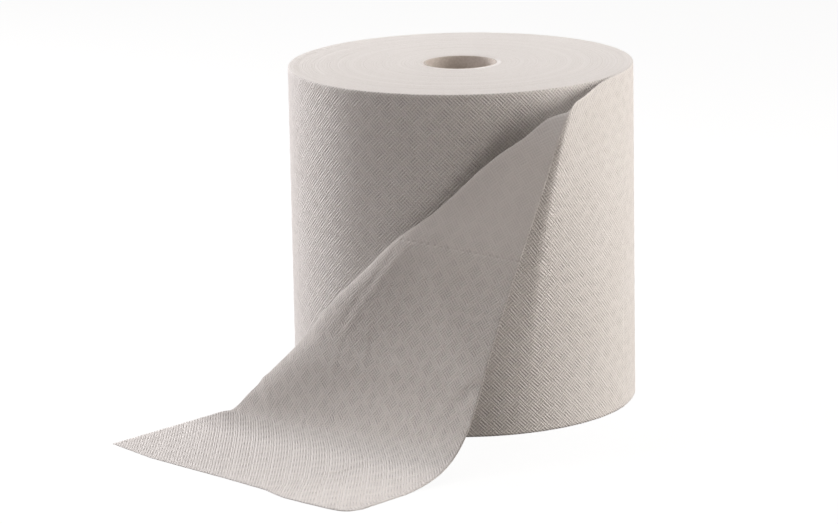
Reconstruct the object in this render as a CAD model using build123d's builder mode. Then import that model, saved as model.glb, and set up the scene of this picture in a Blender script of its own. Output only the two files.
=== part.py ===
from build123d import *
import math
import os

import numpy as np

# A wide roll of embossed paper towel, wound on a cardboard core and standing on one end. The roll's
# axis is Z and its foot is at Z = 0. The last turn has come loose: its upper edge has flopped
# forward over a slanting fold, and the first sheet lies on the floor in front of the roll.

# Driving sizes, in millimetres
roll_radius = 178.0
web_width = 351.0
core_bore_radius = 36.0
core_wall = 2.0
paper_thickness = 0.8
rim_chamfer = 1.2

# Rings on the end faces where turns lie a little below their neighbours
turn_line_radii = (58.0, 83.0, 101.0, 127.0, 150.0, 166.0)
turn_line_width = 1.2
turn_line_depth = 0.5

# The loose web is measured along its length from the apex, the point of its upper edge where the
# slanting fold begins. Its upper edge leaves the roll before the apex, its lower edge after it.
peel_before_apex = 144.0
peel_angle = -23.0
foot_leaves_roll_at = 160.0
fold_ends_at = 358.0
free_end_at = 522.0
fold_steepness = 0.9
lean_power = 2.0

# How deep the wound part of the last turn is rooted in the roll, and the gap under the loose sheet
root_depth = 1.5
floor_gap = 0.3

# Upper edge of the loose web: distance along the web, angle about the roll's axis in degrees,
# distance out from the roll's side, and height as a share of the web's width
upper_edge = (
    (-72.0, -45.4, 14.3, 0.996),
    (-30.0, -55.7, 33.9, 0.983),
    (0.0, -61.9, 51.1, 0.966),
    (16.0, -64.0, 54.1, 0.926),
    (38.0, -66.5, 57.1, 0.877),
    (60.0, -68.35, 60.2, 0.826),
    (120.0, -73.8, 73.0, 0.684),
    (180.0, -78.8, 85.0, 0.536),
    (240.0, -83.1, 98.0, 0.390),
    (300.0, -86.7, 112.6, 0.242),
    (358.0, -90.2, 132.0, 0.103),
    (405.0, -93.9, 159.9, 0.031),
    (450.0, -97.9, 193.5, 0.003),
    (522.0, -102.9, 250.9, 0.0),
)

# Crest of the slanting fold, from the apex to the floor, in the same measures
fold_crest = (
    (0.0, -61.9, 51.1, 0.966),
    (15.0, -66.5, 39.8, 0.951),
    (35.0, -71.5, 31.2, 0.907),
    (60.0, -78.7, 21.2, 0.855),
    (100.0, -90.3, 11.4, 0.757),
    (140.0, -102.7, 7.5, 0.652),
    (165.0, -111.5, 7.6, 0.595),
    (200.0, -122.5, 7.3, 0.495),
    (240.0, -135.9, 10.1, 0.383),
    (280.0, -147.6, 19.3, 0.251),
    (320.0, -158.5, 43.8, 0.127),
    (358.0, -166.3, 75.2, 0.0),
)

# How the flap rolls over beside the crest: distance along the web, how steeply it bulges out from
# the crest, and how far across the flap the bulge takes to level out
crest_rounding = (
    (135.0, 0.0, 10.0),
    (190.0, 0.8, 10.0),
    (300.0, 0.8, 24.0),
    (358.0, 0.0, 24.0),
)

# The corner of the free end that lies furthest to the left, on the floor
left_corner_angle = -152.9
left_corner_reach = 221.8

# How far the free end bows out from the straight line between its corners: share of the way from
# the left corner, and distance. The bow grows over the last stretch of the web.
bow_starts_at = 400.0
bow_growth_power = 1.5
free_end_bow = (
    (0.0, 0.0),
    (0.19, 11.0),
    (0.35, 13.0),
    (0.5, 14.5),
    (0.6, 16.5),
    (0.67, 18.0),
    (0.715, 22.5),
    (0.76, 25.4),
    (0.84, 25.3),
    (0.93, 24.4),
    (0.965, 22.5),
    (0.985, 17.5),
    (1.0, 5.0),
)

# Rows and columns of points that the loose web's skins pass through, and how softly it bends
rows = 42
columns = 25
points_per_step = 2
softening_passes = 2
slope_step = 1.0


def beside_roll(angle, reach, height_share=0.0):
    """A point at an angle about the roll, a distance out from its side and a share of its height."""
    turn = math.radians(angle)
    radius = roll_radius + reach
    return np.array((radius * math.cos(turn), radius * math.sin(turn), height_share * web_width))


def smooth_curve(stations, points):
    """A natural cubic spline through the points, as a function of the station."""
    x = np.array(stations)
    y = np.array(points)
    gap = np.diff(x)
    slope = np.diff(y, axis=0) / gap[:, None]
    bend = np.zeros_like(y)
    matrix = np.diag(2 * (gap[:-1] + gap[1:])) + np.diag(gap[1:-1], 1) + np.diag(gap[1:-1], -1)
    bend[1:-1] = np.linalg.solve(matrix, 6 * np.diff(slope, axis=0))

    def at(station):
        i = int(np.clip(np.searchsorted(x, station) - 1, 0, len(gap) - 1))
        before = station - x[i]
        after = x[i + 1] - station
        start = (y[i] / gap[i] - bend[i] * gap[i] / 6) * after
        end = (y[i + 1] / gap[i] - bend[i + 1] * gap[i] / 6) * before
        return start + end + (bend[i] * after**3 + bend[i + 1] * before**3) / (6 * gap[i])

    return at


root_share = 1.0 - root_depth / web_width
edge_root = beside_roll(peel_angle, -root_depth, root_share)
edge_at = smooth_curve(
    [-peel_before_apex] + [row[0] for row in upper_edge],
    [edge_root] + [beside_roll(*row[1:]) for row in upper_edge],
)
crest_at = smooth_curve([row[0] for row in fold_crest], [beside_roll(*row[1:]) for row in fold_crest])
fold_foot = beside_roll(*fold_crest[-1][1:])
left_corner = beside_roll(left_corner_angle, left_corner_reach)


def degrees_round_roll(length):
    """The angle that a length of web covers where it lies against the roll."""
    return math.degrees(length / roll_radius)


def standing_width(along):
    """The width of paper that still stands below the fold."""
    return web_width * (1.0 - min(max(along / fold_ends_at, 0.0), 1.0)) ** fold_steepness


def foot_at(along):
    """The web's lower edge: against the roll at first, then straight to the foot of the fold."""
    if along < foot_leaves_roll_at:
        return beside_roll(peel_angle - degrees_round_roll(peel_before_apex + along), -root_depth)
    share = (along - foot_leaves_roll_at) / (fold_ends_at - foot_leaves_roll_at)
    leaves = beside_roll(
        peel_angle - degrees_round_roll(peel_before_apex + foot_leaves_roll_at), -root_depth
    )
    return leaves + (fold_foot - leaves) * share


def crest_bulge(along, past_crest):
    """How far the flap bulges out where it rolls over beside the crest."""
    stations, turns, reaches = np.array(crest_rounding).T
    turn = np.interp(along, stations, turns)
    reach = np.interp(along, stations, reaches)
    return turn * reach * (1.0 - math.exp(-past_crest / reach))


def web_point(along, across):
    """A point of the loose web, from its distance along the web and its distance up from the foot."""
    edge = edge_at(along)
    if along >= fold_ends_at:
        share = (along - fold_ends_at) / (free_end_at - fold_ends_at)
        left = fold_foot + (left_corner - fold_foot) * share
        point = left + (edge - left) * across / web_width
        point[2] = edge[2] * (across / web_width) ** lean_power
        return point
    standing = standing_width(along)
    crest = crest_at(along) if along > 0 else edge
    if across > standing:
        over = (across - standing) / (web_width - standing)
        facing = np.cross(crest_at(along + slope_step) - crest, edge - crest)
        facing /= np.linalg.norm(facing)
        bulge = crest_bulge(along, across - standing) * (1.0 - over)
        return crest + (edge - crest) * over + bulge * facing
    foot = foot_at(along)
    point = foot + (crest - foot) * (across / standing) ** lean_power
    point[2] = crest[2] * across / standing
    return point


def soften(grid):
    """Round off the grid's creases, along the web and across it."""
    for _ in range(softening_passes):
        grid[1:-1] = (grid[:-2] + 2 * grid[1:-1] + grid[2:]) / 4
        grid[:, 1:-1] = (grid[:, :-2] + 2 * grid[:, 1:-1] + grid[:, 2:]) / 4


along_steps = np.linspace(-peel_before_apex, free_end_at, rows * points_per_step + 1)
across_steps = np.linspace(0.0, web_width, columns * points_per_step + 1)
web_grid = np.array([[web_point(along, across) for across in across_steps] for along in along_steps])
soften(web_grid)

end_run = web_grid[-1, -1] - web_grid[-1, 0]
end_run /= np.linalg.norm(end_run)
end_outward = np.array((end_run[1], -end_run[0], 0.0))
bow = np.interp(across_steps / web_width, *np.array(free_end_bow).T)
growth = np.clip((along_steps - bow_starts_at) / (free_end_at - bow_starts_at), 0.0, 1.0)
web_grid += (growth**bow_growth_power)[:, None, None] * bow[None, :, None] * end_outward

lowest = paper_thickness / 2 + floor_gap
web_grid[:, :, 2] = np.maximum(web_grid[:, :, 2], lowest)
web_normals = np.cross(np.gradient(web_grid, axis=0), np.gradient(web_grid, axis=1))
web_normals /= np.linalg.norm(web_normals, axis=2)[:, :, None]


def web_skin(offset):
    """One face of the paper: a surface through smooth lines that run across the loose web."""
    lines = []
    stations = np.linspace(0.0, 1.0, columns + 1).tolist()
    for points in (web_grid + offset * web_normals)[::points_per_step]:
        across_web = [Vector(*point) for point in points[::points_per_step].tolist()]
        lines.append(Wire(Edge.make_spline(across_web, parameters=stations)))
    return Shell.make_loft(lines).faces()[0]


web_faces = [web_skin(-paper_thickness / 2), web_skin(paper_thickness / 2)]
web_cuts = [
    Face.make_surface_from_curves(inner, outer)
    for inner, outer in zip(web_faces[0].edges(), web_faces[1].edges())
]

# The loose web lies against the roll's side where it leaves it, and its lower edge follows the roll
with BuildPart() as loose_web:
    add(Solid(Shell(web_faces + web_cuts)))
    with BuildSketch(Plane.XY):
        Circle(roll_radius)
    extrude(amount=web_width, mode=Mode.SUBTRACT)

loose_web.part.label = "loose_web"

with BuildPart() as paper_roll:
    with BuildSketch(Plane.XZ):
        with BuildLine():
            Polyline(
                (core_bore_radius + core_wall, 0),
                (roll_radius - rim_chamfer, 0),
                (roll_radius, rim_chamfer),
                (roll_radius, web_width - rim_chamfer),
                (roll_radius - rim_chamfer, web_width),
                (core_bore_radius + core_wall, web_width),
                close=True,
            )
        make_face()
        for radius in turn_line_radii:
            with Locations((radius, 0), (radius, web_width)):
                Rectangle(turn_line_width, 2 * turn_line_depth, mode=Mode.SUBTRACT)
    revolve(axis=Axis.Z)

paper_roll.part.label = "paper_roll"

with BuildPart() as core_tube:
    with BuildSketch(Plane.XY):
        Circle(core_bore_radius + core_wall)
        Circle(core_bore_radius, mode=Mode.SUBTRACT)
    extrude(amount=web_width)

core_tube.part.label = "core_tube"

os.makedirs("parts", exist_ok=True)
export_step(paper_roll.part, "parts/paper_roll.step")
export_step(loose_web.part, "parts/loose_web.step")
export_step(core_tube.part, "parts/core_tube.step")
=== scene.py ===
"""A wide roll of embossed paper towel that stands on one end, with its last turn come loose.

The loose web has flopped forward over a slanting fold, and its first sheet lies on the floor.
"""

import logging
import math
from dataclasses import dataclass
from enum import Enum

import bpy
import numpy as np
from mathutils import Matrix, Vector


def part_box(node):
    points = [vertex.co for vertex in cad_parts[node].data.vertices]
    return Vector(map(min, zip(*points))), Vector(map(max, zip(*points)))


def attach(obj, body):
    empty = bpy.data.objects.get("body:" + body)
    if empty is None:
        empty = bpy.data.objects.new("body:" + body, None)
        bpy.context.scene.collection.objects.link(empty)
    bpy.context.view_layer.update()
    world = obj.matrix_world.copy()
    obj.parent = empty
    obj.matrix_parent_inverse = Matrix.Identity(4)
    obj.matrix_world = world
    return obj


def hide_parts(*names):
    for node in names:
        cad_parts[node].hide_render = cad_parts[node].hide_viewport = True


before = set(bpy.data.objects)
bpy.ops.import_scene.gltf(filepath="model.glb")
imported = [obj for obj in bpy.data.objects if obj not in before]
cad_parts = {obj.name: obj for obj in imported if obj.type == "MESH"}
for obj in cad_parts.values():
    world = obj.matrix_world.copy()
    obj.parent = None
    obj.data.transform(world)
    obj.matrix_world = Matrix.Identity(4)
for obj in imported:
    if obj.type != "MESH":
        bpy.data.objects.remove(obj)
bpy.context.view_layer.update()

log = logging.getLogger("paper_towel_roll")

MM = 0.001
Socket = bpy.types.NodeSocket
Pair = tuple[float, float]
Place = tuple[float, float, float]
Row = tuple[float, float, float, float]
Colour = Place
WHITE = (1.0, 1.0, 1.0, 1.0)
STRIP = "strip"
RELIEF = "relief"


class Side(Enum):
    """Which face of the paper a finish is for, as seen from the roll's axis."""

    OUTER = 1.0
    INNER = -1.0


@dataclass(frozen=True)
class RollSizes:
    """Sizes of the wound roll, in metres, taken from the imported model."""

    radius: float
    height: float
    core_outer: float
    paper: float = 0.5 * MM
    turn_step: float = 0.8 * MM
    peel_angle: float = -23.0
    peel_before_apex: float = 144 * MM
    emboss_pitch: float = 26.5 * MM
    tear_line: float = 168 * MM

    @staticmethod
    def from_frame() -> "RollSizes":
        """Return the roll's sizes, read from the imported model's boxes."""
        roll_high, core_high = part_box("paper_roll")[1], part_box("core_tube")[1]
        return RollSizes(radius=roll_high[0], height=core_high[2], core_outer=core_high[0])


# Small helpers for meshes


def placed(name: str, data: bpy.types.ID) -> bpy.types.Object:
    """Put a mesh, lamp or camera into the scene.

    Args:
        name: The object's name.
        data: What the object shows.

    Returns:
        The new object.
    """
    made = bpy.data.objects.new(name, data)
    bpy.context.scene.collection.objects.link(made)
    return made


def grid_faces(rows: int, columns: int) -> np.ndarray:
    """Corner numbers of the quads of a grid of points.

    Args:
        rows: Number of points along the first direction.
        columns: Number of points along the second direction.

    Returns:
        One line of four corner numbers for each quad.
    """
    i, j = np.meshgrid(np.arange(rows - 1), np.arange(columns - 1), indexing="ij")
    corner = i.ravel() * columns + j.ravel()
    return np.stack([corner, corner + columns, corner + columns + 1, corner + 1], axis=1)


def stacked(*measures: np.ndarray | float) -> np.ndarray:
    """Join three measures into one grid of points."""
    return np.stack(np.broadcast_arrays(*measures), axis=2)


def make_mesh(
    name: str, points: np.ndarray, faces: np.ndarray, strip: np.ndarray, relief: np.ndarray
) -> bpy.types.Object:
    """Make an object from a grid of points and each point's place on the unrolled strip.

    Args:
        name: The object's name.
        points: The grid of points.
        faces: Corner numbers of each face.
        strip: Along, across and depth measures of each point, in metres.
        relief: Each point's share of the embossed relief.

    Returns:
        The new object, linked to the scene and shaded smooth.
    """
    mesh = bpy.data.meshes.new(name)
    mesh.from_pydata(points.reshape(-1, 3).tolist(), [], faces.tolist())
    kinds = ((STRIP, "FLOAT_VECTOR", "vector", strip), (RELIEF, "FLOAT", "value", relief))
    for attribute, kind, field, values in kinds:
        numbers = np.ascontiguousarray(values, dtype=np.float32).ravel()
        mesh.attributes.new(attribute, kind, "POINT").data.foreach_set(field, numbers)
    mesh.polygons.foreach_set("use_smooth", [True] * len(mesh.polygons))
    mesh.update()
    return placed(name, mesh)


def smooth_curve(stations: np.ndarray, points: np.ndarray, at: np.ndarray) -> np.ndarray:
    """Read a natural cubic spline through points.

    Args:
        stations: The distance of each point along the curve, rising.
        points: One line of coordinates for each point.
        at: The distances to read the curve at.

    Returns:
        One line of coordinates for each distance.
    """
    gap = np.diff(stations)
    slope = np.diff(points, axis=0) / gap[:, None]
    bend = np.zeros_like(points)
    matrix = np.diag(2 * (gap[:-1] + gap[1:])) + np.diag(gap[1:-1], 1) + np.diag(gap[1:-1], -1)
    bend[1:-1] = np.linalg.solve(matrix, 6 * np.diff(slope, axis=0))
    i = np.clip(np.searchsorted(stations, at) - 1, 0, len(gap) - 1)
    before = (at - stations[i])[:, None]
    after = (stations[i + 1] - at)[:, None]
    width = gap[i][:, None]
    start = (points[i] / width - bend[i] * width / 6) * after
    end = (points[i + 1] / width - bend[i + 1] * width / 6) * before
    return start + end + (bend[i] * after**3 + bend[i + 1] * before**3) / (6 * width)


def finished_mesh(piece: bpy.types.Object) -> None:
    """Turn a piece with live modifiers into a plain mesh of the same shape, in place.

    Args:
        piece: The piece to change.
    """
    evaluated = piece.evaluated_get(bpy.context.evaluated_depsgraph_get())
    mesh = bpy.data.meshes.new_from_object(evaluated)
    mesh.name = piece.name
    piece.modifiers.clear()
    piece.data = mesh


# Nodes


class NodeBench:
    """Places nodes on one tree and joins them."""

    def __init__(self, tree: bpy.types.NodeTree) -> None:
        """Keep the tree that the nodes go on."""
        self.tree = tree

    def feed(self, socket: Socket, value: object) -> None:
        """Join a socket to another socket, or give it a constant value.

        Args:
            socket: The input to feed.
            value: An output to join it to, or a constant.
        """
        if isinstance(value, Socket):
            self.tree.links.new(value, socket)
        else:
            socket.default_value = value

    def node(self, kind: str, inputs: dict | None = None, **settings: object) -> bpy.types.Node:
        """Place a node.

        Args:
            kind: The node's type.
            inputs: What each input gets, by its name or number.
            settings: The node's own settings.

        Returns:
            The new node.
        """
        made = self.tree.nodes.new(kind)
        for name, value in settings.items():
            setattr(made, name, value)
        for name, value in (inputs or {}).items():
            self.feed(made.inputs[name], value)
        return made

    def math(self, operation: str, *values: object) -> Socket:
        """Place a math node and return its result."""
        return self.node("ShaderNodeMath", dict(enumerate(values)), operation=operation).outputs[0]

    def times(self, first: object, second: object) -> Socket:
        """Return the product of two values."""
        return self.math("MULTIPLY", first, second)

    def times_plus(self, first: object, second: object, third: object) -> Socket:
        """Return the product of two values, plus a third one."""
        return self.math("MULTIPLY_ADD", first, second, third)

    def apart(self, vector: object) -> list[Socket]:
        """Return the three measures of a vector."""
        return list(self.node("ShaderNodeSeparateXYZ", {0: vector}).outputs)

    def diagonals(self, along: object, across: object, pitch: object) -> list[Socket]:
        """Return a point's two slanting measures on the embossed lattice, in pitches."""
        slants = (self.math(way, along, across) for way in ("ADD", "SUBTRACT"))
        return [self.math("DIVIDE", slant, pitch) for slant in slants]

    def step(self, value: object, low: float, high: float) -> Socket:
        """Return a value that rises smoothly from 0 to 1 as another goes from low to high."""
        inputs = {"Value": value, "From Min": low, "From Max": high}
        return self.node("ShaderNodeMapRange", inputs, interpolation_type="SMOOTHSTEP").outputs[0]

    def noise(self, place: object, scale: float, detail: float) -> Socket:
        """Return soft noise at a place."""
        inputs = {"Vector": place, "Scale": scale, "Detail": detail}
        return self.node("ShaderNodeTexNoise", inputs).outputs["Fac"]

    def line_noise(self, place: object, scale: float, detail: float) -> Socket:
        """Return soft noise along one measure."""
        inputs = {"W": place, "Scale": scale, "Detail": detail}
        return self.node("ShaderNodeTexNoise", inputs, noise_dimensions="1D").outputs["Fac"]

    def blend(self, share: object, shade: Colour, colour: Colour) -> Socket:
        """Return a colour between a shade and a colour."""
        inputs = {0: share, 6: (*shade, 1.0), 7: (*colour, 1.0)}
        return self.node("ShaderNodeMix", inputs, data_type="RGBA").outputs[2]

    def scaled(self, vector: object, scale: object) -> Socket:
        """Return a vector or colour times a number."""
        inputs = {0: vector, "Scale": scale}
        return self.node("ShaderNodeVectorMath", inputs, operation="SCALE").outputs[0]

    def bump(self, relief: float, height: object, **below: object) -> Socket:
        """Return the normal of fine relief, which may lie on the Normal of a coarser one."""
        inputs = {"Strength": 1.0, "Distance": relief, "Height": height, **below}
        return self.node("ShaderNodeBump", inputs).outputs["Normal"]

    def matt(self, colour: object, roughness: float, specular: float, normal: object) -> Socket:
        """Return a matt surface's shader."""
        values = {"Base Color": colour, "Roughness": roughness, "Specular IOR Level": specular}
        return self.node("ShaderNodeBsdfPrincipled", {**values, "Normal": normal}).outputs[0]

    def mix(self, share: object, first: object, second: object) -> Socket:
        """Return a mix of two shaders."""
        return self.node("ShaderNodeMixShader", {0: share, 1: first, 2: second}).outputs[0]

    def seen(self) -> Socket:
        """Tell the rays that show what is behind from the rays that light a surface.

        Returns:
            1 for the rays that show, and 0 for the others.
        """
        path = self.node("ShaderNodeLightPath").outputs
        straight = self.math("MAXIMUM", path["Is Camera Ray"], path["Is Glossy Ray"])
        shows = self.math("MAXIMUM", straight, path["Is Transmission Ray"])
        return self.math("MINIMUM", shows, self.math("SUBTRACT", 1.0, path["Is Diffuse Ray"]))


def fresh_bench(owner: bpy.types.Material | bpy.types.World) -> NodeBench:
    """Empty the node tree of a material or a world.

    Args:
        owner: What the tree is for.

    Returns:
        The empty tree, to place nodes on.
    """
    owner.use_nodes = True
    owner.node_tree.nodes.clear()
    return NodeBench(owner.node_tree)


@dataclass(frozen=True)
class EmbossPattern:
    """Lattice of ribs with a basket weave of fine lines, in metres along and across the strip."""

    pitch: float
    hatch_lines: int = 7
    blocks: int = 2
    hatch_height: float = 0.42
    cross_share: float = 0.9
    weave: float = 0.26
    rib_place: float = 0.1
    rib_reach: float = 0.05
    rib_height: float = 0.5
    patch_scale: float = 110.0
    patch_detail: float = 2.0
    patch_gain: float = 1.6
    patch_base: float = 0.2

    def hatch(self, bench: NodeBench, slant: Socket) -> Socket:
        """Return the height of the fine lines along one diagonal, from -1 to 1."""
        return bench.math("COSINE", bench.times(slant, math.tau * self.hatch_lines))

    def height(self, bench: NodeBench, strip: Socket) -> Socket:
        """Return the whole pattern's height.

        Ribs run on both sides of each lattice line. The fine lines change direction from block to
        block, and everything is pressed harder in some patches than in others.

        Args:
            bench: The tree to work on.
            strip: The point's place on the unrolled strip.

        Returns:
            A height of about -0.5 to 1.
        """
        along, across, _ = bench.apart(strip)
        falling, rising = slants = bench.diagonals(along, across, self.pitch)
        steps = [bench.math("FLOOR", bench.times(slant, float(self.blocks))) for slant in slants]
        block = bench.math("FLOORED_MODULO", bench.math("ADD", *steps), 2.0)
        share = bench.times_plus(block, 1.0 - 2.0 * self.weave, self.weave)
        crossing = bench.times(self.hatch(bench, falling), self.cross_share)
        inputs = {0: share, 2: self.hatch(bench, rising), 3: crossing}
        lines = bench.node("ShaderNodeMix", inputs).outputs[0]
        off = bench.math("MINIMUM", *(bench.math("PINGPONG", slant, 0.5) for slant in slants))
        from_rib = bench.math("ABSOLUTE", bench.math("SUBTRACT", off, self.rib_place))
        rib = bench.math("SUBTRACT", 1.0, bench.step(from_rib, 0.0, self.rib_reach))
        ribs = bench.times(rib, self.rib_height)
        pattern = bench.times_plus(lines, self.hatch_height, ribs)
        patch = bench.noise(strip, self.patch_scale, self.patch_detail)
        return bench.times(pattern, bench.times_plus(patch, self.patch_gain, self.patch_base))


# Finishes


@dataclass(frozen=True)
class Finish:
    """What every finish has: a name, and a material built from the finish's own shader."""

    name: str

    def shader(self, bench: NodeBench) -> Socket:
        """Return the finish's shader, which each finish builds in its own way."""
        raise NotImplementedError

    def build(self) -> bpy.types.Material:
        """Build the material.

        Returns:
            The material, ready to assign.
        """
        made = bpy.data.materials.new(self.name)
        bench = fresh_bench(made)
        bench.node("ShaderNodeOutputMaterial", {"Surface": self.shader(bench)})
        return made


@dataclass(frozen=True)
class PaperFinish(Finish):
    """Soft, matt, embossed paper.

    The pattern follows the strip that the paper was cut from, so it stays whole over every fold.
    Where it is calm, it has only a share of its height. Its hollows are painted darker, as painted
    shade. Light passes through the paper where it hangs free, between the stretches where it
    leaves the roll and meets the floor.
    """

    side: Side
    emboss: EmbossPattern
    colour: Colour = (0.93, 0.91, 0.89)
    shade: Colour = (0.90, 0.875, 0.85)
    roughness: float = 0.92
    specular: float = 0.2
    cloud: Pair = (14.0, 4.0)
    fibre: Pair = (900.0, 3.0)
    fibre_share: float = 0.5
    mottled: Pair = (0.35, 0.65)
    # Painted shade: how dark the colour gets in the emboss's hollows.
    painted_hollow_shade: float = 0.64
    painted_shade_heights: Pair = (-0.6, 0.15)
    see_through: float = 0.0
    relief: float = 0.7 * MM
    fibre_relief: float = 0.06 * MM
    calm_share: float = 1.0
    calm_until: Pair = (120 * MM, 250 * MM)
    leaves_roll: Pair = (-20 * MM, 60 * MM)
    meets_floor: Pair = (350 * MM, 430 * MM)

    def shader(self, bench: NodeBench) -> Socket:
        """Build the paper's shader.

        Args:
            bench: The tree to work on.

        Returns:
            The shader.
        """
        strip = bench.node("ShaderNodeAttribute", attribute_name=STRIP).outputs["Vector"]
        along = bench.apart(strip)[0]
        fibre = bench.noise(strip, *self.fibre)
        cloud = bench.times(bench.noise(strip, *self.cloud), 1.0 - self.fibre_share)
        mottle = bench.times_plus(fibre, self.fibre_share, cloud)
        colour = bench.blend(bench.step(mottle, *self.mottled), self.shade, self.colour)
        pressed_in = self.emboss.height(bench, strip)
        if self.calm_share < 1.0:
            rough = bench.step(along, *self.calm_until)
            share = bench.times_plus(rough, 1.0 - self.calm_share, self.calm_share)
            pressed_in = bench.times(pressed_in, share)
        # Painted shade: the emboss's hollows get a darker colour than its raised parts, for the
        # shade that falls into them.
        free_of_painted_shade = bench.step(pressed_in, *self.painted_shade_heights)
        colour = bench.scaled(colour, bench.times_plus(free_of_painted_shade, 1.0 - self.painted_hollow_shade, self.painted_hollow_shade))
        pressed = bench.bump(self.relief, bench.times(pressed_in, self.side.value))
        soft = bench.bump(self.fibre_relief, fibre, Normal=pressed)
        surface = bench.matt(colour, self.roughness, self.specular, soft)
        if self.see_through <= 0.0:
            return surface
        through = bench.node("ShaderNodeBsdfTranslucent", {"Color": colour, "Normal": soft})
        off_roll = bench.step(along, *self.leaves_roll)
        off_floor = bench.math("SUBTRACT", 1.0, bench.step(along, *self.meets_floor))
        thin = bench.times(bench.times(off_roll, off_floor), self.see_through)
        return bench.mix(thin, surface, through.outputs[0])


@dataclass(frozen=True)
class TurnEdgeFinish(Finish):
    """The end faces, where only the cut edges of the wound turns show, as fine rings."""

    name: str = "turn edges"
    colour: Colour = (0.94, 0.92, 0.90)
    shade: Colour = (0.82, 0.80, 0.77)
    roughness: float = 0.95
    specular: float = 0.2
    drift: Pair = (5.0, 2.0)
    wander: float = 1.5 * MM
    rings: Pair = (900.0, 3.0)
    bands: Pair = (120.0, 2.0)
    ring_share: float = 0.8
    fibre: Pair = (700.0, 3.0)
    fibre_share: float = 0.4
    fibre_height: float = 0.3
    grained: Pair = (0.3, 0.6)
    relief: float = 0.6 * MM

    def shader(self, bench: NodeBench) -> Socket:
        """Build the shader of the turns' edges.

        Args:
            bench: The tree to work on.

        Returns:
            The shader.
        """
        place = bench.node("ShaderNodeTexCoord").outputs["Object"]
        inputs = {0: place, 1: (1.0, 1.0, 0.0)}
        flat = bench.node("ShaderNodeVectorMath", inputs, operation="MULTIPLY").outputs[0]
        radius = bench.node("ShaderNodeVectorMath", {0: flat}, operation="LENGTH").outputs["Value"]
        wandering = bench.times_plus(bench.noise(flat, *self.drift), self.wander, radius)
        rings = bench.line_noise(wandering, *self.rings)
        bands = bench.line_noise(wandering, *self.bands)
        fibre = bench.noise(place, *self.fibre)
        few = bench.times(bands, 1.0 - self.ring_share)
        streak = bench.times_plus(rings, self.ring_share, few)
        rest = bench.times(streak, 1.0 - self.fibre_share)
        grain = bench.times_plus(fibre, self.fibre_share, rest)
        colour = bench.blend(bench.step(grain, *self.grained), self.shade, self.colour)
        normal = bench.bump(self.relief, bench.times_plus(fibre, self.fibre_height, streak))
        return bench.matt(colour, self.roughness, self.specular, normal)


@dataclass(frozen=True)
class BoardFinish(Finish):
    """Plain greyish board, wound on a slant from strips, for the core tube."""

    name: str = "core board"
    colour: Colour = (0.74, 0.68, 0.63)
    shade: Colour = (0.62, 0.56, 0.51)
    roughness: float = 0.85
    specular: float = 0.5
    seam_rise: float = 95 * MM
    seam_width: float = 0.012
    seam_shade: float = 0.5
    fibre: Pair = (420.0, 5.0)
    fibre_share: float = 0.6
    cloud: Pair = (40.0, 3.0)
    mottled: Pair = (0.35, 0.65)
    mottle_height: float = 0.4
    relief: float = 0.15 * MM

    def shader(self, bench: NodeBench) -> Socket:
        """Build the board's shader, with the slanting seam of its outer strip and short fibres.

        Args:
            bench: The tree to work on.

        Returns:
            The shader.
        """
        place = bench.node("ShaderNodeTexCoord").outputs["Object"]
        x, y, z = bench.apart(place)
        turn = bench.math("DIVIDE", bench.math("ARCTAN2", y, x), math.tau)
        rise = bench.math("DIVIDE", z, self.seam_rise)
        from_seam = bench.math("PINGPONG", bench.math("ADD", rise, turn), 0.5)
        seam = bench.step(from_seam, 0.0, self.seam_width)
        fibre = bench.noise(place, *self.fibre)
        cloud = bench.times(bench.noise(place, *self.cloud), 1.0 - self.fibre_share)
        mottle = bench.times_plus(fibre, self.fibre_share, cloud)
        off_seam = bench.times_plus(seam, 1.0 - self.seam_shade, self.seam_shade)
        share = bench.times(bench.step(mottle, *self.mottled), off_seam)
        colour = bench.blend(share, self.shade, self.colour)
        height = bench.math("ADD", bench.times(mottle, self.mottle_height), seam)
        normal = bench.bump(self.relief, height)
        return bench.matt(colour, self.roughness, self.specular, normal)


@dataclass(frozen=True)
class FloorFinish(Finish):
    """A pale floor, which shows white where it is lit and keeps the soft shadows."""

    name: str = "pale floor"
    bounce: Colour = (0.20, 0.18, 0.17)
    shadow: Colour = (0.13, 0.13, 0.13)
    glow: float = 0.92

    def shader(self, bench: NodeBench) -> Socket:
        """Build the floor's shader: plain to rays that light a surface, glowing to the others.

        Args:
            bench: The tree to work on.

        Returns:
            The shader.
        """
        plain = bench.node("ShaderNodeBsdfDiffuse", {"Color": (*self.bounce, 1.0)})
        shadow = bench.node("ShaderNodeBsdfDiffuse", {"Color": (*self.shadow, 1.0)})
        glow = bench.node("ShaderNodeEmission", {"Color": WHITE, "Strength": self.glow})
        lit = bench.node("ShaderNodeAddShader", {0: shadow.outputs[0], 1: glow.outputs[0]})
        return bench.mix(bench.seen(), plain.outputs[0], lit.outputs[0])


# Geometry node trees


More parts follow.
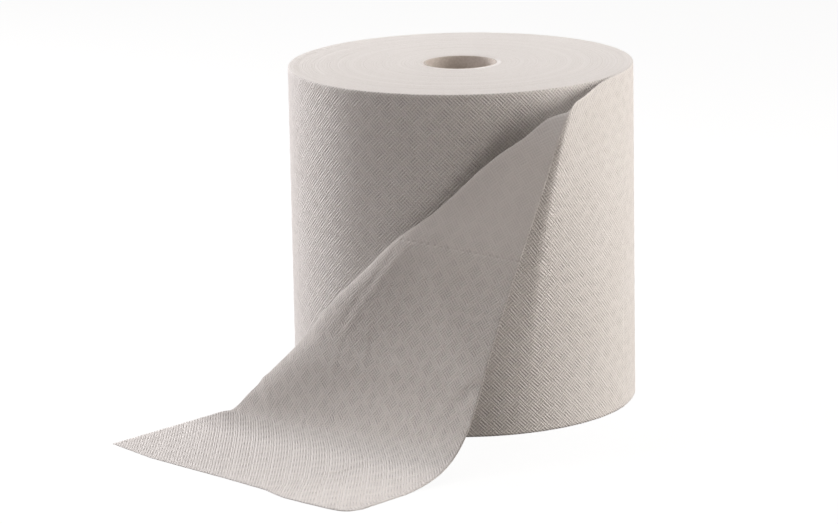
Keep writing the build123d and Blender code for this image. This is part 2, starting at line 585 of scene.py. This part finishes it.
class GeometryTree:
    """A geometry node tree with named inputs, which ends in Realize Instances and Set Material."""

    def __init__(self, name: str, sizes: dict[str, float]) -> None:
        """Start a tree.

        Args:
            name: The tree's name.
            sizes: The tree's number inputs and their values, by name.
        """
        self.tree = bpy.data.node_groups.new(name, "GeometryNodeTree")
        self.sizes = sizes
        face = self.tree.interface
        face.new_socket("Geometry", in_out="INPUT", socket_type="NodeSocketGeometry")
        for size in sizes:
            face.new_socket(size, in_out="INPUT", socket_type="NodeSocketFloat")
        face.new_socket("Material", in_out="INPUT", socket_type="NodeSocketMaterial")
        face.new_socket("Geometry", in_out="OUTPUT", socket_type="NodeSocketGeometry")
        self.bench = NodeBench(self.tree)
        self.given = self.bench.node("NodeGroupInput").outputs

    def named(self, name: str, kind: str) -> Socket:
        """Return an attribute of the mesh."""
        inputs = {"Name": name}
        return self.bench.node("GeometryNodeInputNamedAttribute", inputs, data_type=kind).outputs[0]

    def strip(self) -> list[Socket]:
        """Return the along and across measures of a point of the strip."""
        return self.bench.apart(self.named(STRIP, "FLOAT_VECTOR"))[:2]

    def finish(self, geometry: Socket) -> None:
        """Close the tree with its last two steps.

        Args:
            geometry: What the steps before have made.
        """
        real = self.bench.node("GeometryNodeRealizeInstances", {0: geometry}).outputs[0]
        inputs = {"Geometry": real, "Material": self.given["Material"]}
        dressed = self.bench.node("GeometryNodeSetMaterial", inputs)
        self.bench.node("NodeGroupOutput", {0: dressed.outputs[0]})

    def apply(self, piece: bpy.types.Object, material: bpy.types.Material) -> None:
        """Run the tree on a piece and keep the result as its plain mesh.

        Args:
            piece: The piece to change.
            material: The material that the tree sets.
        """
        modifier = piece.modifiers.new(self.tree.name, "NODES")
        modifier.node_group = self.tree
        values = {**self.sizes, "Material": material}
        for item in self.tree.interface.items_tree:
            if item.in_out == "INPUT" and item.name in values:
                modifier[item.identifier] = values[item.name]
        finished_mesh(piece)


def emboss_tree(pitch: float, depth: float) -> GeometryTree:
    """Build the tree that lifts the middle of each cell of the lattice off the paper.

    Args:
        pitch: The lattice's width across a cell.
        depth: How far the middle of a cell stands above its ribs.

    Returns:
        The tree, ready to apply.
    """
    made = GeometryTree("Emboss", {"Pitch": pitch, "Depth": depth})
    bench = made.bench
    along, across = made.strip()
    slants = bench.diagonals(along, across, made.given["Pitch"])
    domes = [
        bench.math("ABSOLUTE", bench.math("SINE", bench.times(slant, math.pi))) for slant in slants
    ]
    height = bench.times(bench.times(*domes), made.given["Depth"])
    lift = bench.times(height, made.named(RELIEF, "FLOAT"))
    offset = bench.scaled(bench.node("GeometryNodeInputNormal").outputs[0], lift)
    inputs = {"Geometry": made.given["Geometry"], "Offset": offset}
    moved = bench.node("GeometryNodeSetPosition", inputs)
    made.finish(moved.outputs[0])
    return made


def perforation_tree(
    line: float, slit_width: float, pitch: float, slit_share: float
) -> GeometryTree:
    """Build the tree that cuts the row of slits where a sheet tears off.

    Args:
        line: Where the row lies, along the strip.
        slit_width: The width of a slit.
        pitch: The distance from one slit to the next.
        slit_share: The share of the row that is cut.

    Returns:
        The tree, ready to apply.
    """
    sizes = {"Line": line, "Slit Width": slit_width, "Pitch": pitch, "Slit Share": slit_share}
    made = GeometryTree("Perforation", sizes)
    bench = made.bench
    along, across = made.strip()
    off_line = bench.math("ABSOLUTE", bench.math("SUBTRACT", along, made.given["Line"]))
    reach = bench.times(made.given["Slit Width"], 0.5)
    on_line = bench.math("LESS_THAN", off_line, reach)
    turn = bench.math("FRACT", bench.math("DIVIDE", across, made.given["Pitch"]))
    in_slit = bench.math("LESS_THAN", turn, made.given["Slit Share"])
    cut = bench.times(on_line, in_slit)
    inputs = {"Geometry": made.given["Geometry"], "Selection": cut}
    left = bench.node("GeometryNodeDeleteGeometry", inputs, domain="FACE")
    made.finish(left.outputs[0])
    return made


# Pieces


@dataclass
class WoundRoll:
    """All the turns that are still wound, as one closed spiral body around the core."""

    sizes: RollSizes
    cells_per_pitch: int = 9
    rim_round: float = 1.2 * MM
    rim_rows: int = 3
    pillow: float = 0.25 * MM
    turn_lines: tuple[float, ...] = (58 * MM, 83 * MM, 101 * MM, 127 * MM, 150 * MM, 166 * MM)
    turn_line_width: float = 1.2 * MM
    turn_line_depth: float = 0.1 * MM
    turn_line_wall: float = 0.3 * MM
    plain_rings: int = 25
    ring_unevenness: float = 0.06 * MM
    spiral_fades_over: float = 10 * MM
    end_face_slope: float = 0.75
    seed: int = 7

    @property
    def cell(self) -> float:
        """Return the length of a cell of the mesh."""
        return self.sizes.emboss_pitch / self.cells_per_pitch

    def off_line(self, radius: float) -> float:
        """Return a ring's distance from the nearest line between turns."""
        return min(abs(radius - line) for line in self.turn_lines)

    def ring_radii(self) -> list[float]:
        """Place the end faces' rings: four for each line between turns, and plain ones.

        Returns:
            Their radii, from the rim to the core.
        """
        half = self.turn_line_width / 2
        floor = half - self.turn_line_wall
        outer = self.sizes.radius - self.rim_round
        marks = [line + off for line in self.turn_lines for off in (half, floor, -floor, -half)]
        between = np.linspace(self.sizes.core_outer, outer, self.plain_rings + 1)[:-1]
        free = [radius for radius in between if self.off_line(radius) > self.turn_line_width]
        return sorted(marks + free, reverse=True)

    def end_lines(self) -> list[Pair]:
        """Sink the rings of an end face, the lines between turns deeper than the others.

        Returns:
            How far each ring lies inside the roll's radius, and how far it is sunk.
        """
        rng = np.random.default_rng(self.seed)
        lines = []
        for radius in self.ring_radii():
            in_line = self.off_line(radius) < (self.turn_line_width - self.turn_line_wall) / 2
            sink = self.turn_line_depth if in_line else rng.uniform(0.0, self.ring_unevenness)
            lines.append((self.sizes.radius - radius, sink))
        return lines

    def profile(self) -> list[Row]:
        """Lay out the points of one profile, from the core's foot over the wall to its top.

        Returns:
            How far each lies inside the roll's radius, its height, its place across the strip and
            its share of the relief.
        """
        height = self.sizes.height
        rim = [
            (self.rim_round * (1 - math.cos(bend)), self.rim_round * (1 - math.sin(bend)))
            for bend in np.linspace(0.0, math.pi / 2, self.rim_rows + 1)
        ]
        rows = round((height - 2 * self.rim_round) / self.cell)
        ends = self.end_lines()
        lower = [(shrink, sink, 0.0, 0.0) for shrink, sink in reversed(ends)]
        lower += [(shrink, z, z, 0.0) for shrink, z in reversed(rim[1:])]
        wall = np.linspace(self.rim_round, height - self.rim_round, rows)
        upper = [(shrink, height - z, height - z, 0.0) for shrink, z in rim[1:]]
        upper += [(shrink, height - sink, height, 0.0) for shrink, sink in ends]
        return lower + [(0.0, z, z, 1.0) for z in wall] + upper

    def build(self, material: bpy.types.Material, ends: bpy.types.Material) -> bpy.types.Object:
        """Build the body.

        Args:
            material: The finish of the outer turn.
            ends: The finish of the two end faces.

        Returns:
            The finished piece.
        """
        size = self.sizes
        profile = np.array(self.profile())
        columns = round(math.tau * size.radius / self.cell)
        turn = np.linspace(0.0, 1.0, columns + 1)
        angle = math.radians(size.peel_angle) + math.tau * turn
        wall = size.radius - turn * size.turn_step
        flat = np.clip((profile[:, 0] - self.rim_round) / self.spiral_fades_over, 0.0, 1.0)
        inward = (wall - size.radius)[:, None] * (1 - flat)[None, :]
        radius = (size.radius - profile[:, 0])[None, :] + inward
        x, y = radius * np.cos(angle)[:, None], radius * np.sin(angle)[:, None]
        points = stacked(x, y, profile[:, 1])
        along = -size.peel_before_apex - size.radius * math.tau * turn
        strip = stacked(along[:, None], profile[:, 2], 0.0)
        rows = len(profile)
        foot = rows * np.arange(columns)
        bore = np.stack([foot, foot + rows - 1, foot + 2 * rows - 1, foot + rows], axis=1)
        faces = np.concatenate([grid_faces(columns + 1, rows), bore])
        made = make_mesh("wound_roll", points, faces, strip, np.tile(profile[:, 3], columns + 1))
        emboss_tree(size.emboss_pitch, self.pillow).apply(made, material)
        made.data.materials.append(ends)
        for polygon in made.data.polygons:
            if abs(polygon.normal.z) > self.end_face_slope:
                polygon.material_index = 1
        return made


@dataclass(frozen=True)
class Crease:
    """A ridge or a dip in the loose web, in metres along and across the strip."""

    start: Pair
    end: Pair
    height: float
    width: float
    fade_power: float = 0.6

    def lift(self, along: np.ndarray, across: np.ndarray) -> np.ndarray:
        """Lift the paper beside the crease.

        Args:
            along: Each point's distance along the strip.
            across: Each point's distance across it.

        Returns:
            How far each point is lifted.
        """
        start, end = np.array(self.start), np.array(self.end)
        run = end - start
        share = ((along - start[0]) * run[0] + (across - start[1]) * run[1]) / (run @ run)
        near = np.clip(share, 0.0, 1.0)
        off = np.hypot(along - start[0] - near * run[0], across - start[1] - near * run[1])
        fade = np.sin(math.pi * near) ** self.fade_power
        return self.height * fade * np.exp(-((off / self.width) ** 2))


@dataclass
class LooseWeb:
    """The end of the strip that has come off the roll, folded forward and down to the floor.

    Its tables give, for points of the upper edge and of the fold's crest, the distance along the
    web from the apex in millimetres, the angle about the roll's axis in degrees, the distance out
    from the roll's side in millimetres, and the height as a share of the web's width. The left
    corner has such an angle and distance too. A crease has its start and its end, each along and
    across the strip, its height and its width, all in millimetres.
    """

    sizes: RollSizes
    upper_edge: tuple[Row, ...] = (
        (-72, -45.4, 14.3, 0.996), (-30, -55.7, 33.9, 0.983), (0, -61.9, 51.1, 0.966),
        (16, -64.0, 54.1, 0.926), (38, -66.5, 57.1, 0.877), (60, -68.35, 60.2, 0.826),
        (120, -73.8, 73.0, 0.684), (180, -78.8, 85.0, 0.536), (240, -83.1, 98.0, 0.390),
        (300, -86.7, 112.6, 0.242), (358, -90.2, 132.0, 0.103), (405, -93.9, 159.9, 0.031),
        (450, -97.9, 193.5, 0.003), (522, -102.9, 250.9, 0.0),
    )
    fold_crest: tuple[Row, ...] = (
        (0, -61.9, 51.1, 0.966), (15, -66.4, 38.3, 0.949), (35, -71.2, 27.6, 0.903),
        (60, -78.5, 16.4, 0.852), (100, -90.2, 7.6, 0.755), (140, -102.7, 5.0, 0.652),
        (165, -111.5, 6.0, 0.595), (200, -122.5, 6.9, 0.495), (240, -135.9, 10.1, 0.383),
        (280, -147.6, 19.3, 0.251), (320, -158.5, 43.8, 0.127), (358, -166.3, 75.2, 0.0),
    )
    crest_rounding: tuple[Place, ...] = (
        (135, 0.0, 10), (190, 0.8, 10), (300, 0.8, 24), (358, 0.0, 24),
    )
    free_end_bow: tuple[Pair, ...] = (
        (0.0, 0.0), (0.19, 11.0), (0.35, 13.0), (0.5, 14.5), (0.6, 16.5), (0.67, 18.0),
        (0.715, 22.5), (0.76, 25.4), (0.84, 25.3), (0.93, 24.4), (0.965, 22.5), (0.985, 17.5),
        (1.0, 5.0),
    )
    bow_starts_at: float = 400 * MM
    bow_growth_power: float = 1.5
    left_corner: Pair = (-152.9, 221.8)
    foot_leaves_roll_at: float = 160 * MM
    fold_ends_at: float = 358 * MM
    free_end_at: float = 522 * MM
    fold_steepness: float = 0.9
    lean_power: float = 2.0
    softness: float = 6.5 * MM
    tip_softness: float = 2.5 * MM
    tip_reach: float = 90 * MM
    dense_step: float = 1.65 * MM
    cell: float = 2.7 * MM
    pillow: float = 0.2 * MM
    floor_gap: float = 0.1 * MM
    slit_width: float = 0.2 * MM
    slit_share: float = 0.45
    rows_per_slit: int = 3
    creases: tuple[tuple[float, ...], ...] = (
        (575, 210, 385, 262, 0.7, 4.2), (575, 218, 380, 271, -0.45, 4.2),
        (400, 258, 360, 340, 0.6, 4.5), (560, 192, 440, 222, 0.3, 4.0),
        (236, 190, 330, 197, 0.5, 2.2), (262, 160, 330, 150, 0.3, 3.0),
        (186, 246, 304, 353, 1.6, 20.0), (200, 275, 290, 345, -0.3, 8.0),
        (315, 38, 350, 80, 1.1, 5.0), (322, 30, 356, 60, -0.9, 7.0),
        (296, 352, 330, 318, -0.6, 6.0), (284, 350, 318, 308, 0.4, 5.0),
        (168, 214, 270, 150, -0.5, 2.6), (170, 222, 275, 158, 0.4, 3.0),
        (420, 10, 500, 150, 0.8, 22.0), (380, 110, 360, 290, 0.8, 16.0),
    )

    def beside_roll(self, angle: float, reach: float, height: float = 0.0) -> np.ndarray:
        """Return a point at an angle about the roll, a distance out from its side and a height."""
        turn, radius = math.radians(angle), self.sizes.radius + reach
        return np.array((radius * math.cos(turn), radius * math.sin(turn), height))

    @property
    def fold_foot(self) -> np.ndarray:
        """Return the point where the fold meets the floor."""
        return self.beside_roll(self.fold_crest[-1][1], self.fold_crest[-1][2] * MM)

    def table_curve(self, table: tuple, root: bool, at: np.ndarray) -> np.ndarray:
        """Read one of the tables as a smooth curve.

        Args:
            table: The table to read.
            root: Whether the curve starts where the web leaves the roll.
            at: Distances along the web.

        Returns:
            A point for each distance.
        """
        width = self.sizes.height
        stations = [row[0] * MM for row in table]
        points = [self.beside_roll(row[1], row[2] * MM, row[3] * width) for row in table]
        if root:
            stations.insert(0, -self.sizes.peel_before_apex)
            points.insert(0, self.beside_roll(self.sizes.peel_angle, -self.sizes.paper / 2, width))
        return smooth_curve(np.array(stations), np.array(points), at)

    def foot_curve(self, along: np.ndarray) -> np.ndarray:
        """Lay out the lower edge: against the roll at first, then straight to the fold's foot.

        Args:
            along: Distances along the web.

        Returns:
            A point for each distance.
        """
        size = self.sizes
        on_roll = np.minimum(along, self.foot_leaves_roll_at)
        degrees = size.peel_angle - np.degrees((size.peel_before_apex + on_roll) / size.radius)
        settle = self.softness**2 / (2 * size.radius)
        reach = settle - size.paper / 2
        foot = np.array([self.beside_roll(angle, reach) for angle in degrees])
        past = along - self.foot_leaves_roll_at
        share = np.clip(past / (self.fold_ends_at - self.foot_leaves_roll_at), 0.0, 1.0)[:, None]
        return foot + (self.fold_foot - foot) * share

    def plain_grid(self, along: np.ndarray, across: np.ndarray) -> np.ndarray:
        """Lay out the web with sharp folds.

        Args:
            along: Distances along the web.
            across: Distances up from the foot.

        Returns:
            A grid of points, the web's length by its width.
        """
        width = self.sizes.height
        edge = self.table_curve(self.upper_edge, True, along)
        on_fold = np.clip(along, 0, self.fold_ends_at)
        crest = self.table_curve(self.fold_crest, False, on_fold)
        crest = np.where((along > 0)[:, None], crest, edge)
        foot, fold_foot = self.foot_curve(along), self.fold_foot
        corner = self.beside_roll(self.left_corner[0], self.left_corner[1] * MM)
        run = 1.0 - np.clip(along / self.fold_ends_at, 0.0, 1.0)
        standing = width * run**self.fold_steepness
        grid = np.zeros((len(along), len(across), 3))
        for i, distance in enumerate(along):
            if distance >= self.fold_ends_at:
                past = (distance - self.fold_ends_at) / (self.free_end_at - self.fold_ends_at)
                left = fold_foot + (corner - fold_foot) * past
                share = across[:, None] / width
                grid[i] = left + (edge[i] - left) * share
                grid[i, :, 2] = edge[i, 2] * share[:, 0] ** self.lean_power
                continue
            up = np.minimum(across / standing[i], 1.0)[:, None]
            grid[i] = foot[i] + (crest[i] - foot[i]) * up**self.lean_power
            grid[i, :, 2] = crest[i, 2] * up[:, 0]
            if standing[i] < width:
                past = np.clip(across - standing[i], 0.0, None)
                over = (past / (width - standing[i]))[:, None]
                rounding = self.crest_lift(distance, past) * (1.0 - over[:, 0])
                facing = np.cross(crest[i + 1] - crest[i - 1], edge[i] - crest[i])
                facing /= np.linalg.norm(facing)
                flap = crest[i] + (edge[i] - crest[i]) * over + rounding[:, None] * facing
                grid[i] = np.where(over > 0, flap, grid[i])
        return grid

    def crest_lift(self, along: float, past: np.ndarray) -> np.ndarray:
        """Round the flap where it rolls over the crest.

        Args:
            along: A distance along the web.
            past: Distances past the crest.

        Returns:
            How far the flap bulges out at each of them.
        """
        stations, turns, reaches = (np.array(column) for column in zip(*self.crest_rounding))
        turn = np.interp(along / MM, stations, turns)
        reach = np.interp(along / MM, stations, reaches) * MM
        return turn * reach * (1.0 - np.exp(-past / reach))

    def bow_free_end(self, grid: np.ndarray, along: np.ndarray, across: np.ndarray) -> None:
        """Push the free end out where it bows, and round its corner.

        Args:
            grid: The web's points, which are moved.
            along: The distances along the web of its columns.
            across: The distances across it of its rows.
        """
        run = grid[-1, -1] - grid[-1, 0]
        run /= np.linalg.norm(run)
        outward = np.array((run[1], -run[0], 0.0))
        shares, reaches = (np.array(column) for column in zip(*self.free_end_bow))
        reach = np.interp(across / self.sizes.height, shares, reaches * MM)
        past = (along - self.bow_starts_at) / (self.free_end_at - self.bow_starts_at)
        growth = np.clip(past, 0.0, 1.0) ** self.bow_growth_power
        grid += growth[:, None, None] * reach[None, :, None] * outward

    def soften(self, grid: np.ndarray, softness: float) -> np.ndarray:
        """Round a grid's folds off, along the web and across it.

        Args:
            grid: The web with sharp folds.
            softness: How wide the rounding is, in metres.

        Returns:
            The softened grid.
        """
        soft = grid.copy()
        for _ in range(round(2 * (softness / self.dense_step) ** 2)):
            soft[1:-1] = (soft[:-2] + 2 * soft[1:-1] + soft[2:]) / 4
            soft[:, 1:-1] = (soft[:, :-2] + 2 * soft[:, 1:-1] + soft[:, 2:]) / 4
        return soft

    def round_folds(self, grid: np.ndarray, along: np.ndarray) -> np.ndarray:
        """Round the folds off, and less so near the apex, where the paper turns sharply.

        Args:
            grid: The web with sharp folds.
            along: The distances along the web of its columns.

        Returns:
            The softened grid.
        """
        away = np.clip(np.abs(along) / self.tip_reach, 0.0, 1.0)
        share = (away * away * (3 - 2 * away))[:, None, None]
        tip = self.soften(grid, self.tip_softness)
        return tip + (self.soften(grid, self.softness) - tip) * share

    def stations(self) -> np.ndarray:
        """Place the mesh's columns, with a narrow one along the tear line.

        Returns:
            Their distances along the web.
        """
        start, end, line = -self.sizes.peel_before_apex, self.free_end_at, self.sizes.tear_line
        half = self.slit_width / 2
        before = np.linspace(start, line - half, round((line - start) / self.cell) + 1)
        after = np.linspace(line + half, end, round((end - line) / self.cell) + 1)
        return np.concatenate([before, after])

    def surface(self) -> tuple[np.ndarray, np.ndarray, np.ndarray]:
        """Lay out the middle of the paper.

        Returns:
            The grid of points, and the distances along and across of its columns and rows.
        """
        width = self.sizes.height
        start, end = -self.sizes.peel_before_apex, self.free_end_at
        dense_along = np.linspace(start, end, round((end - start) / self.dense_step) + 1)
        dense_across = np.linspace(0.0, width, round(width / self.dense_step) + 1)
        grid = self.round_folds(self.plain_grid(dense_along, dense_across), dense_along)
        along = self.stations()
        across = np.linspace(0.0, width, round(width / self.cell) + 1)
        for stations, at in ((dense_along, along), (dense_across, across)):
            read = smooth_curve(stations, grid.reshape(len(stations), -1), at)
            grid = read.reshape(len(at), -1, 3).transpose(1, 0, 2)
        return grid.copy(), along, across

    def crumple(self, grid: np.ndarray, along: np.ndarray, across: np.ndarray) -> None:
        """Add the creases, and keep the paper on the floor or above it.

        Args:
            grid: The web's points, which are moved.
            along: The distances along the web of its columns.
            across: The distances across it of its rows.
        """
        normals = np.cross(np.gradient(grid, axis=0), np.gradient(grid, axis=1))
        normals /= np.linalg.norm(normals, axis=2)[:, :, None]
        s, w = np.meshgrid(along, across, indexing="ij")
        lift = np.zeros_like(s)
        for row in self.creases:
            *ends, height, spread = (value * MM for value in row)
            lift += Crease(tuple(ends[:2]), tuple(ends[2:]), height, spread).lift(s, w)
        grid += lift[:, :, None] * normals
        floor = self.sizes.paper / 2 + self.floor_gap
        grid[:, :, 2] = np.maximum(grid[:, :, 2], floor)

    def build(self, material: bpy.types.Material, inner: bpy.types.Material) -> bpy.types.Object:
        """Build the web.

        Args:
            material: The finish of the paper's outer face.
            inner: The finish of the face that was turned to the roll.

        Returns:
            The finished piece.
        """
        size = self.sizes
        grid, along, across = self.surface()
        self.bow_free_end(grid, along, across)
        self.crumple(grid, along, across)
        strip = stacked(along[:, None], across, 0.0)
        faces = grid_faces(len(along), len(across))[:, ::-1]
        made = make_mesh("loose_end", grid, faces, strip, np.ones(strip.shape[:2]))
        emboss_tree(size.emboss_pitch, self.pillow).apply(made, material)
        pitch = self.rows_per_slit * size.height / (len(across) - 1)
        slits = perforation_tree(size.tear_line, self.slit_width, pitch, self.slit_share)
        slits.apply(made, material)
        made.data.materials.append(inner)
        solid = made.modifiers.new("thickness", "SOLIDIFY")
        solid.thickness = size.paper
        solid.offset = 0.0
        solid.material_offset = 1
        finished_mesh(made)
        return made


# Camera, floor and light


@dataclass(frozen=True)
class Lamp:
    """A soft square lamp that points at the roll.

    Its azimuth is in degrees from +X towards +Y and its rise in degrees above the floor. Its level
    is how light a white surface that faces it gets, where 1 is white.
    """

    name: str
    azimuth: float
    rise: float
    away: float
    size: float
    level: float
    colour: Colour
    aim: Place = (0.0, 0.0, 0.15)

    def build(self) -> None:
        """Place the lamp."""
        turn, up = math.radians(self.azimuth), math.radians(self.rise)
        out = Vector((math.cos(turn) * math.cos(up), math.sin(turn) * math.cos(up), math.sin(up)))
        data = bpy.data.lights.new(self.name, "AREA")
        data.size = self.size
        data.energy = self.level * math.pi**2 * self.away**2
        data.color = self.colour
        made = placed(self.name, data)
        made.location = Vector(self.aim) + out * self.away
        made.rotation_euler = (-out).to_track_quat("-Z", "Y").to_euler()


@dataclass
class Studio:
    """The camera at the photograph's angle, a plain pale floor and soft plain lamps."""

    place: Place = (0.0, -3.988, 1.0822)
    yaw: float = -0.665
    pitch: float = 13.289
    roll: float = -1.065
    lens: float = 168.83
    sensor: float = 36.0
    clip: Pair = (0.05, 50.0)
    floor_reach: float = 12.0
    around: Colour = (1.0, 0.84, 0.76)
    around_level: float = 0.09
    lamps: tuple[Lamp, ...] = (
        Lamp("key", 146.0, 16.0, 2.6, 0.6, 0.72, (1.0, 0.975, 0.985)),
        Lamp("left", -168.0, 36.0, 2.6, 1.2, 0.31, (1.0, 0.945, 0.94)),
        Lamp("right", 2.0, 14.0, 2.6, 1.5, 0.58, (1.0, 0.95, 0.90)),
        Lamp("right front", -30.0, 14.0, 2.6, 1.4, 0.30, (1.0, 0.93, 0.88)),
        Lamp("top", -90.0, 80.0, 2.2, 1.0, 0.13, (1.0, 0.97, 0.95)),
        Lamp("back", 60.0, 45.0, 1.2, 0.6, 0.17, (1.0, 1.0, 1.0)),
    )

    def camera(self) -> None:
        """Build the camera."""
        yaw, pitch, roll = (math.radians(a) for a in (self.yaw, self.pitch, self.roll))
        forward = Vector(
            (math.sin(yaw) * math.cos(pitch), math.cos(yaw) * math.cos(pitch), -math.sin(pitch))
        )
        level = Vector((math.cos(yaw), -math.sin(yaw), 0.0))
        upright = level.cross(forward)
        right = math.cos(roll) * level + math.sin(roll) * upright
        up = math.cos(roll) * upright - math.sin(roll) * level
        data = bpy.data.cameras.new("camera")
        data.sensor_fit = "HORIZONTAL"
        data.sensor_width = self.sensor
        data.lens = self.lens
        data.clip_start, data.clip_end = self.clip
        made = placed("camera", data)
        turn = Matrix((right, up, -forward)).transposed().to_4x4()
        made.matrix_world = Matrix.Translation(self.place) @ turn
        bpy.context.scene.camera = made

    def world(self) -> None:
        """Build the even light from all round, and the white that the camera sees behind."""
        made = bpy.data.worlds.new("studio")
        bpy.context.scene.world = made
        bench = fresh_bench(made)
        inputs = {"Color": (*self.around, 1.0), "Strength": self.around_level}
        around = bench.node("ShaderNodeBackground", inputs)
        white = bench.node("ShaderNodeBackground", {"Color": WHITE, "Strength": 1.0})
        mixed = bench.mix(bench.seen(), around.outputs[0], white.outputs[0])
        bench.node("ShaderNodeOutputWorld", {"Surface": mixed})

    def floor(self) -> None:
        """Build the floor."""
        far = self.floor_reach
        corners = [(-far, -far, 0.0), (far, -far, 0.0), (far, far, 0.0), (-far, far, 0.0)]
        mesh = bpy.data.meshes.new("floor")
        mesh.from_pydata(corners, [], [(0, 1, 2, 3)])
        mesh.materials.append(FloorFinish().build())
        ground = placed("floor", mesh)

    def build(self) -> None:
        """Build the camera, the floor, the world and the lamps."""
        self.camera()
        self.floor()
        self.world()
        for lamp in self.lamps:
            lamp.build()
        view = bpy.context.scene.view_settings
        view.view_transform = "Standard"


# The whole object


def main() -> None:
    """Build every piece in order and report it."""
    sizes = RollSizes.from_frame()
    emboss = EmbossPattern(pitch=sizes.emboss_pitch)
    wound = PaperFinish("wound paper", Side.OUTER, emboss).build()
    outer = PaperFinish("loose paper outer face", Side.OUTER, emboss, see_through=0.25).build()
    # Painted light: the inner face gets a lighter colour and shade than the outer face of the same
    # paper, to brighten the hanging flap.
    inner = PaperFinish(
        "loose paper inner face", Side.INNER, emboss, (0.96, 0.94, 0.92), (0.94, 0.92, 0.90),
        painted_hollow_shade=0.62, see_through=0.45, calm_share=0.3,
    ).build()
    ends = TurnEdgeFinish().build()

    roll = WoundRoll(sizes).build(wound, ends)
    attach(roll, "root")
    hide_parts("paper_roll")
    log.info("wound roll: %d faces", len(roll.data.polygons))

    loose = LooseWeb(sizes)
    web = loose.build(outer, inner)
    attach(web, "root")
    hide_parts("loose_web")
    log.info("loose web: %d faces", len(web.data.polygons))

    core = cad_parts["core_tube"]
    core.data.materials.clear()
    core.data.materials.append(BoardFinish().build())
    log.info("core tube: board finish")

    Studio().build()
    log.info("studio: camera, floor and lamps")


if __name__ == "__main__":
    logging.basicConfig(level=logging.INFO)
    main()
